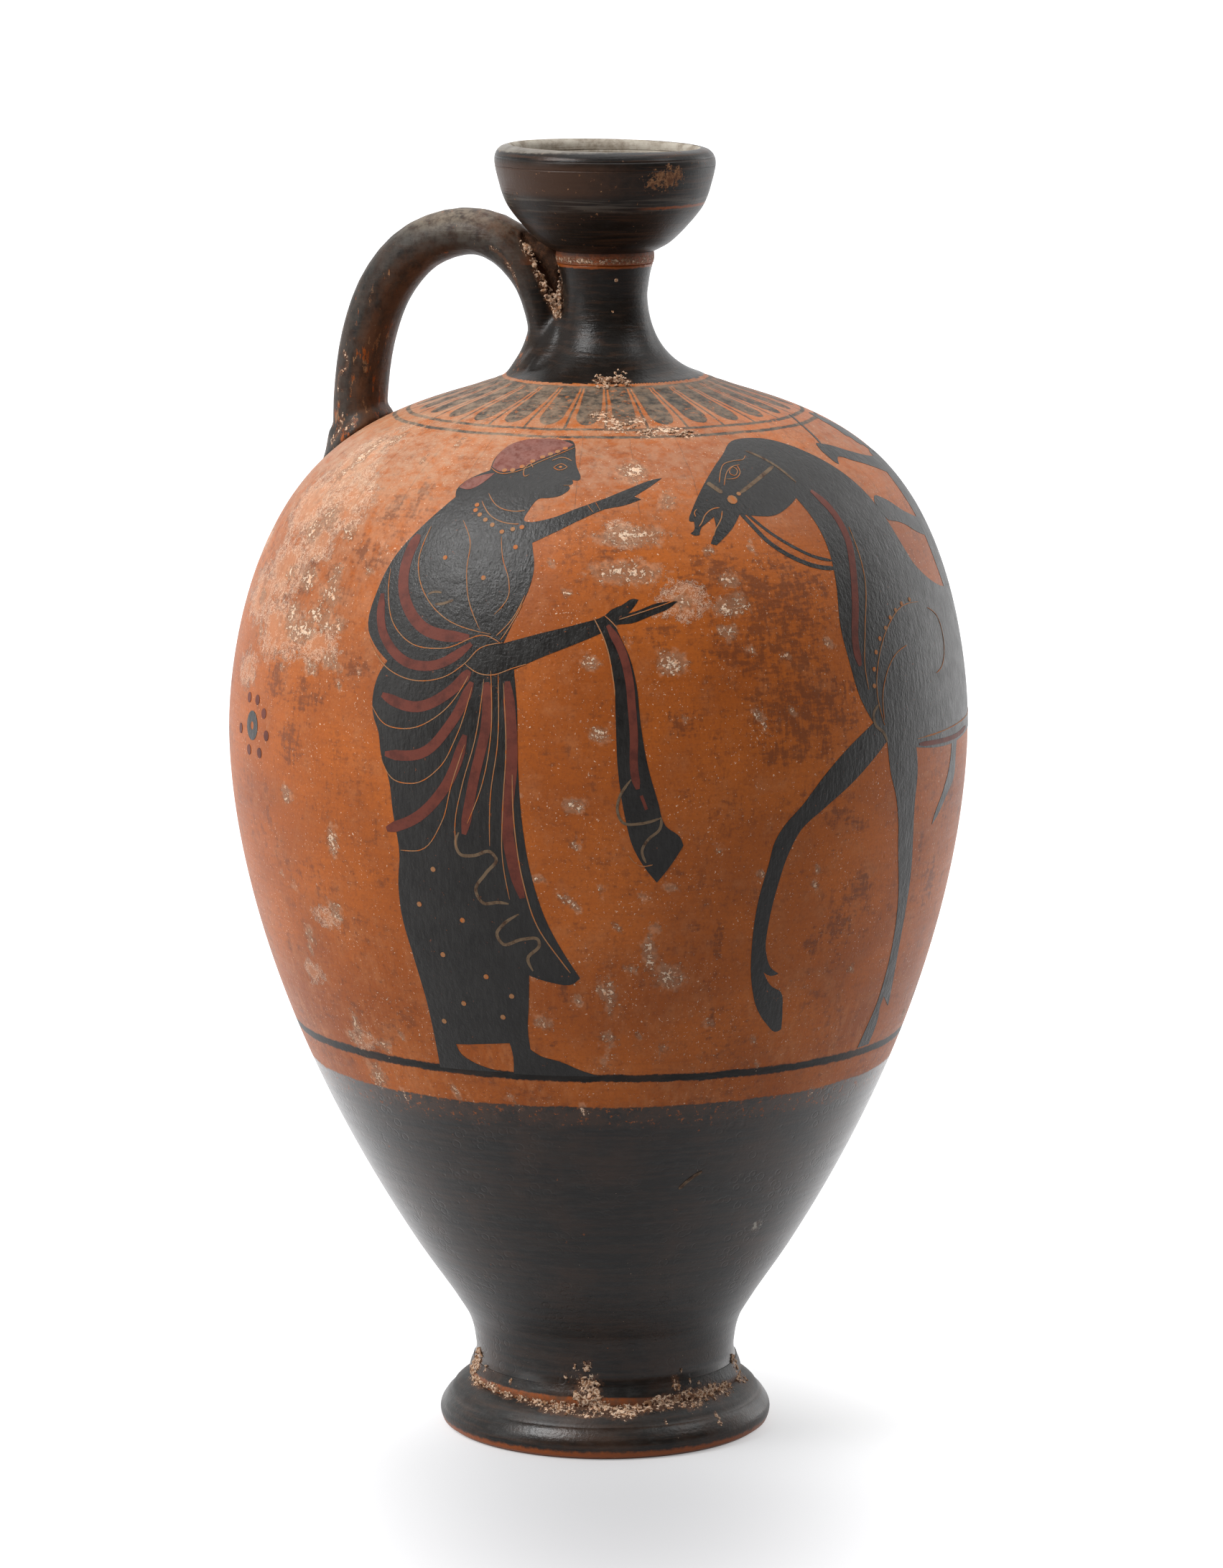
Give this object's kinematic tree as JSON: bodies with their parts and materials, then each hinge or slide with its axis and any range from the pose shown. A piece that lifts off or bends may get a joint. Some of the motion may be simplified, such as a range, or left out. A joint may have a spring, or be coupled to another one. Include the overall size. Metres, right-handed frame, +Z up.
{
  "type": "oil jug",
  "caption": "Oval clay oil jug on a disc foot with a narrow neck, a deep cup mouth and one arched handle from shoulder to neck, for holding and pouring oil.",
  "frame": {"origin": "centre of the foot on the plane it stands on", "axes": "+Z up along the vessel's axis, handle towards -X"},
  "size_m": [0.1426, 0.1426, 0.2495],
  "materials": {
    "black_slip": "semi-gloss fired slip",
    "clay": "burnished orange clay with painted decoration",
    "crusted_clay": "bare clay with pale burial crust"
  },
  "bodies": {
    "root": {"foot": "black_slip", "foot_fillet": "crusted_clay", "body": "clay", "neck_fillet": "clay", "neck": "black_slip", "mouth_collar": "crusted_clay", "mouth": "black_slip", "handle": "black_slip", "upper_luting": "crusted_clay", "lower_luting": "black_slip"}
  },
  "joints": []
}
